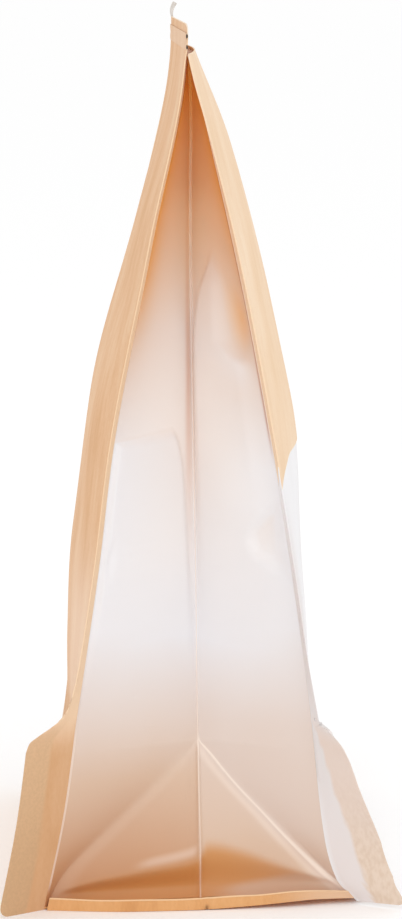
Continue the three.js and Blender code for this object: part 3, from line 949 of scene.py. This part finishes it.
def near_fields(spot, slant, z, from_fold, from_crease):
    """The near fold's colours follow its patch, ridge and dents too: painted light on the patch and the
    ridge, painted shade in the hollow, the dent and beside the crease, and a painted highlight just above
    the tuck.
    """
    fields = plain_fields(spot, slant, z, from_fold, from_crease)
    level = fields["level"]
    patch = flat_patch(spot, z)
    level = level + (LIT_PATCH_LEVEL - level) * patch * ease(90, 110, z)
    # Painted shade beside the crease on the back half, off the patch.
    level = level + 0.04 * hump(0, 0.2, spot) * (spot < 0) * (1 - patch) * ease(60, 110, z)
    # Painted light on the ridge and painted shade in the hollow.
    level = level - 0.15 * tongue(spot, z) * ease(145, 160, z) + 0.15 * hollow(spot, z)
    # Painted shade in the dent, and darker near the back seam round 180 mm.
    level = level + 0.11 * dimple(spot, z) + 0.06 * ease(-0.6, -1, spot) * hump(180, 30, z)
    fields["level"] = np.clip(level, 0, 1)
    # A painted highlight streak just above the tuck.
    streak = ease(-0.55, -0.35, slant) * ease(0.0, -0.06, slant)
    streak = 0.28 * streak * hump(tuck_top(slant) + 1.7, 2.2, z)
    fields["pale"] = np.clip(fields["pale"] + streak, 0, 1)
    return fields


make_fold("side_fold_near", -1, near_relief, near_fields)
make_fold("side_fold_far", 1, far_relief, plain_fields)


# ---- Painted shade across the mouth ----

def make_mouth_shade():
    """A brown sheet between the two panels just under the front's cut edge, where the bag is pressed shut:
    painted shade standing in for the dark gap there.
    """
    across = np.linspace(-1, 1, 90)
    share = np.linspace(0, 1, 14)[:, None]
    top = FRONT_TOP - 1.2
    back = panel_x("back", top, across) + PAPER + 0.1
    front = panel_x("front", top, across) - PAPER - 0.15
    x = back[None, :] + (front - back)[None, :] * share
    z = top - 0.5 * np.sin(math.pi * share) + 0.15 * np.sin(across * 25)[None, :]
    y = np.broadcast_to(MIDDLE_Y + across * (HALF_WIDTH - 0.3), x.shape)
    piece = sheet("mouth_shade_sheet", np.stack([x, y, z], 2), FILM, MOUTH_SHADE)
    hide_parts("film_body")


make_mouth_shade()


# ---- Base ----

PLATE_Z = 0.45
RIM_PAPER = 0.4
LIP_SHARES = np.concatenate([np.linspace(0, 0.78, 9), np.linspace(0.82, 1, 8)])[:, None]

# How far the near and the far rim bow out past the seams, along x, and then how high their lips are
near_bow = curve((-46, 1.2), (-20, 4.6), (0, 4.3), (20, 3.2), (41, 0.5))
far_bow = curve((-46, 0.4), (-20, 2.6), (0, 3.2), (20, 2.6), (46, 0.4))
near_lip = curve((-46, 3.65), (-5, 3.7), (14, 4.2), (25, 4.9), (35, 4.4), (46, 3.6))
far_lip = curve((-46, LIP_TOP), (46, LIP_TOP))
far_lift = curve((-46, 0.05), (46, 0.05))  # the far rim is level, just off the ground

NOTCH_X = 0.4  # the near rim is creased here, under the fold's middle


def rim_sheet(name, x, y, z, outwards):
    """A rim of the base from a grid of points, with a slightly rolled lip along its upper edge."""
    push = 0.16 * hump(0.92, 0.1, LIP_SHARES) - 0.25 * (1 - LIP_SHARES)
    x = x + outwards[0] * push
    y = y + outwards[1] * push
    fields = {
        # Painted highlight along the lip.
        "lip": np.broadcast_to(ease(0.84, 0.9, LIP_SHARES), z.shape),
        # Paler towards the near rim's front end.
        "paler_front_end": ease(15, 38, x) * (outwards[1] < 0),
        # Painted shade at the bottom of the near rim's crease.
        "notch_shade": 0.8 * hump(NOTCH_X, 0.9, x) * ease(0.5, 0.15, LIP_SHARES) * (outwards[1] < 0),
    }
    piece = sheet(name, np.stack([x, y, z], 2), RIM_PAPER, BASE_KRAFT, fields)
    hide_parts("base_panel")


def cross_rim(name, end, bow, bottom, lip):
    """The rim across the bag's near or far side, whose ends follow the two seams."""
    along = np.linspace(0, 1, 150)[None, :]
    last = front_seam(0)
    left = back_seam(LIP_TOP * LIP_SHARES) + 0.7
    right = front_seam(bottom(last) + (lip(last) - bottom(last)) * LIP_SHARES) - 0.3
    x = left + (right - left) * along
    wave = 0.1 * np.sin(x / 4.1) + 0.08 * np.sin(x / 7.3 + 1)
    z = bottom(x) + (lip(x) - bottom(x) + wave) * LIP_SHARES
    crease = 0.3 * hump(NOTCH_X, 1.0, x) * (end < 0)
    y = MIDDLE_Y + end * (HALF_WIDTH + bow(x) - crease)
    if end > 0:
        x, y, z = x[:, ::-1], y[:, ::-1], z[:, ::-1]
    rim_sheet(name, x, y, z, (0, end))


def side_rim(name, side):
    """The rim under the front or the back panel."""
    outwards = -1 if side == "back" else 1
    across = np.linspace(-0.93, 0.93, 110)[None, :] * outwards
    y = MIDDLE_Y + HALF_WIDTH * across + 0 * LIP_SHARES
    x = panel_x(side, 0, across) + outwards * 0.55 + 0 * LIP_SHARES
    wave = 0.1 * np.sin(across * 31) + 0.08 * np.sin(across * 17 + 1)
    rim_sheet(name, x, y, 0.05 + (RIM_TOP - 0.4 + wave) * LIP_SHARES, (outwards, 0))


def base_plate():
    """The sheet that the bag stands on, a little arched between its edges."""
    across = np.linspace(-1, 1, 60)
    share = np.linspace(0, 1, 50)[:, None]
    back, front = panel_x("back", 0, across), panel_x("front", 0, across)
    x = back[None, :] + (front - back)[None, :] * share
    bow = np.where(across < 0, near_bow(x) - 0.8 - 1.6 * ease(22, 44, x), far_bow(x) - 0.6) * across**8
    y = MIDDLE_Y + across[None, :] * HALF_WIDTH + np.sign(across)[None, :] * bow
    arch = (1 - across**2)[None, :] * (4 * share * (1 - share))
    z = PLATE_Z + near_lift(x) * ease(-0.7, -1, across)[None, :] + 0.5 * arch
    plain = {field: 0 * z for field in ("lip", "paler_front_end", "notch_shade")}
    piece = sheet("base_sheet", np.stack([x, y, z], 2), PAPER, BASE_KRAFT, plain)
    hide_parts("base_panel")


cross_rim("rim_near", -1, near_bow, near_lift, near_lip)
cross_rim("rim_far", 1, far_bow, far_lift, far_lip)
side_rim("rim_front", "front")
side_rim("rim_back", "back")
base_plate()


# ---- Tin tie ----

BAND_PAPER = 0.14
BAND_GAP = 0.02  # between the header's face and the strip, away from the wires
BAND_TOP = TIE_HIGH[2] - 0.3
WIRE_WIDE = 0.55  # a wire is rolled flat: half its height
WIRE_THICK = 0.12  # and half its thickness
WIRE_INSET = 0.15  # from the header's face to a wire's middle
WIRE_STICKS_OUT = 0.8  # how far a wire's end stands out past the header's edge
BAND_LEVEL = 246  # the strip follows the header's outer face at this height

# The height of each wire's middle
WIRES = {name: float(sum(box_of("tie_wire_" + name))[2] / 2) for name in ("lower", "upper")}


def header_line():
    """The header's outer face as x and y along its width, from its near fin's tip to its far fin's."""
    distance = np.linspace(FIN_WIDTH, 0, 16, endpoint=False)
    near = fin_point("back", -1, BAND_LEVEL, distance)
    far = fin_point("back", 1, BAND_LEVEL, distance)
    across = np.linspace(-1, 1, 90)
    middle = panel_x("back", BAND_LEVEL, across), MIDDLE_Y + HALF_WIDTH * across
    x = np.concatenate([near[0], middle[0], far[0][::-1]])
    y = np.concatenate([near[1], middle[1], far[1][::-1]])
    return x, y


def make_band():
    """The tie's paper strip along the header, with a soft rib over each wire and slightly ragged ends."""
    x, y = header_line()
    z = np.linspace(TIE_LOW[2], BAND_TOP, 41)[:, None]
    rib = sum(hump(height, 1.5, z) for height in WIRES.values())
    ends = np.abs(y - MIDDLE_Y) > HALF_WIDTH + FIN_WIDTH - 1
    ragged = 0.1 * np.sin(z * 5.1) * ends
    inner = BAND_GAP + WIRE_THICK * rib
    outer = x[None, :] - inner - BAND_PAPER
    grid = np.stack([outer, y[None, :] + ragged, z + 0 * x[None, :]], 2)
    piece = sheet("tie_strip", grid[:, ::-1], BAND_PAPER, TIE_PAPER)
    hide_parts("tie_band")


def wire_path():
    """The middle line of a wire under the strip. Its ends stand out and turn in a little, round the edge."""
    x, y = header_line()
    x = x - WIRE_INSET
    out = np.linspace(0, 1, 13)[1:]
    near = (x[0] + 0.3 * out**2, y[0] - WIRE_STICKS_OUT * out)
    far = (x[-1] + 0.3 * out**2, y[-1] + WIRE_STICKS_OUT * out)
    return np.concatenate([near[0][::-1], x, far[0]]), np.concatenate([near[1][::-1], y, far[1]])


def make_wire(name, height, node):
    """A flat-rolled wire, a little bent along its length, with narrowed cut ends."""
    x, y = wire_path()
    sides = np.linspace(0, 2 * math.pi, 20, endpoint=False)
    share = np.linspace(-1, 1, len(x))
    taper = np.sqrt(np.clip(1 - np.abs(share) ** 50, 0.12, 1))
    flare = 1 + 0.9 * ease(0.84, 0.92, np.abs(share))
    along = np.stack([np.gradient(x), np.gradient(y)], 1)
    along = along / np.linalg.norm(along, axis=1, keepdims=True)
    thick = (WIRE_THICK * taper * flare)[:, None] * np.cos(sides)[None, :]
    wide = (WIRE_WIDE * taper)[:, None] * np.sin(sides)[None, :]
    points = np.stack([
        x[:, None] + along[:, 1, None] * thick,
        y[:, None] - along[:, 0, None] * thick,
        height + 0.06 * np.sin(y / 9 + height)[:, None] + wide,
    ], 2)
    count = len(sides)
    last = (len(x) - 1) * count
    faces = [list(range(count)), list(range(last, last + count))]
    for ring in range(0, last, count):
        for side in range(count):
            after = (side + 1) % count
            faces.append([ring + side, ring + after, ring + count + after, ring + count + side])
    piece = finish_mesh(name, points.reshape(-1, 3), faces, TIE_WIRE)
    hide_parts(node)


make_band()
for wire, height in WIRES.items():
    make_wire("wire_" + wire, height, "tie_wire_" + wire)


# ---- Curl of lining at the header's far end ----

def make_curl():
    """A thin torn strip of lining on the header's cut edge, narrow at its foot, that curls over."""
    up = np.linspace(0, 1, 26)[:, None]
    along = np.linspace(0, 1, 40)[None, :]
    narrow = 5 + 4 * up
    rise = (CURL_TOP - HEADER_TOP) * (0.9 - 0.1 * (1 - along) ** 2)
    x = float(panel_x("back", HEADER_TOP, 1)) + 0.4 - 0.4 * np.sin(math.pi * up) + 0.7 * up**2.2
    x = x - 0.9 * (along - 0.5) * (0.4 + 0.6 * up)
    y = FAR_Y + 1 - narrow * (1 - along)
    z = HEADER_TOP - 0.5 + (rise * (1 + 0.03 * np.sin(along * 31)) + 0.5) * up
    piece = sheet("lining_curl_sheet", np.stack([x, y, z], 2), FILM, LINING)
    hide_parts("lining_curl")


make_curl()


# ---- Camera, light and floor ----

CAMERA_TARGET = Vector((0, -65, 129))
CAMERA_DISTANCE = 1000
CAMERA_YAW = math.radians(2.3)
CAMERA_PITCH = math.radians(8.07)
CAMERA_ROLL = math.radians(0.5)
SENSOR = 36
LENS = 139.46


def make_camera():
    """A long lens a metre from the bag's near side, a little above its middle."""
    forward = Vector((
        math.sin(CAMERA_YAW) * math.cos(CAMERA_PITCH),
        math.cos(CAMERA_YAW) * math.cos(CAMERA_PITCH),
        -math.sin(CAMERA_PITCH),
    ))
    level = forward.cross(Vector((0, 0, 1))).normalized()
    upright = level.cross(forward)
    right = level * math.cos(CAMERA_ROLL) - upright * math.sin(CAMERA_ROLL)
    up = level * math.sin(CAMERA_ROLL) + upright * math.cos(CAMERA_ROLL)
    turned = Matrix((right, up, -forward)).transposed().to_4x4()
    data = bpy.data.cameras.new("camera")
    data.sensor_width = SENSOR
    data.lens = LENS
    camera = bpy.data.objects.new("camera", data)
    place = (CAMERA_TARGET - forward * CAMERA_DISTANCE) * MM
    camera.matrix_world = Matrix.Translation(place) @ turned
    bpy.context.scene.collection.objects.link(camera)
    bpy.context.scene.camera = camera


FLOOR_SIZE = 160  # metres, so that its edge is at the horizon
KEY_PLACE = (0.1, -1.3, 1.1)
KEY_TARGET = (0, 0, 0.12)
KEY_SIZE = 1.2
KEY_WATTS = 4
SOFT_BOUNCES = 24  # enough for light to reach the depths of the folds
ALL_BOUNCES = 28


def make_light(name, place, target, size, watts):
    """A square soft light at a place in metres, turned to its target."""
    data = bpy.data.lights.new(name, "AREA")
    data.size = size
    data.energy = watts
    light = bpy.data.objects.new(name, data)
    place = Vector(place)
    light.location = place
    light.rotation_euler = (Vector(target) - place).to_track_quat("-Z", "Y").to_euler()
    bpy.context.scene.collection.objects.link(light)


def make_stage():
    """A pale floor out to the horizon, a white surround and one large soft light."""
    bpy.ops.mesh.primitive_plane_add(size=FLOOR_SIZE)
    floor = bpy.context.object
    floor.name = "floor"
    finish = Finish("pale_floor", 0.9, Specular_IOR_Level=0.0)
    finish.colour(rgb(254, 254, 254))
    floor.data.materials.append(finish.material)
    world = bpy.data.worlds.new("studio")
    world.use_nodes = True
    world.node_tree.nodes["Background"].inputs["Color"].default_value = (1, 1, 1, 1)
    world.node_tree.nodes["Background"].inputs["Strength"].default_value = 1.0
    scene = bpy.context.scene
    scene.world = world
    make_light("key", KEY_PLACE, KEY_TARGET, KEY_SIZE, KEY_WATTS)
    scene.view_settings.view_transform = "Standard"
    scene.cycles.diffuse_bounces = SOFT_BOUNCES
    scene.cycles.max_bounces = ALL_BOUNCES


make_camera()
make_stage()
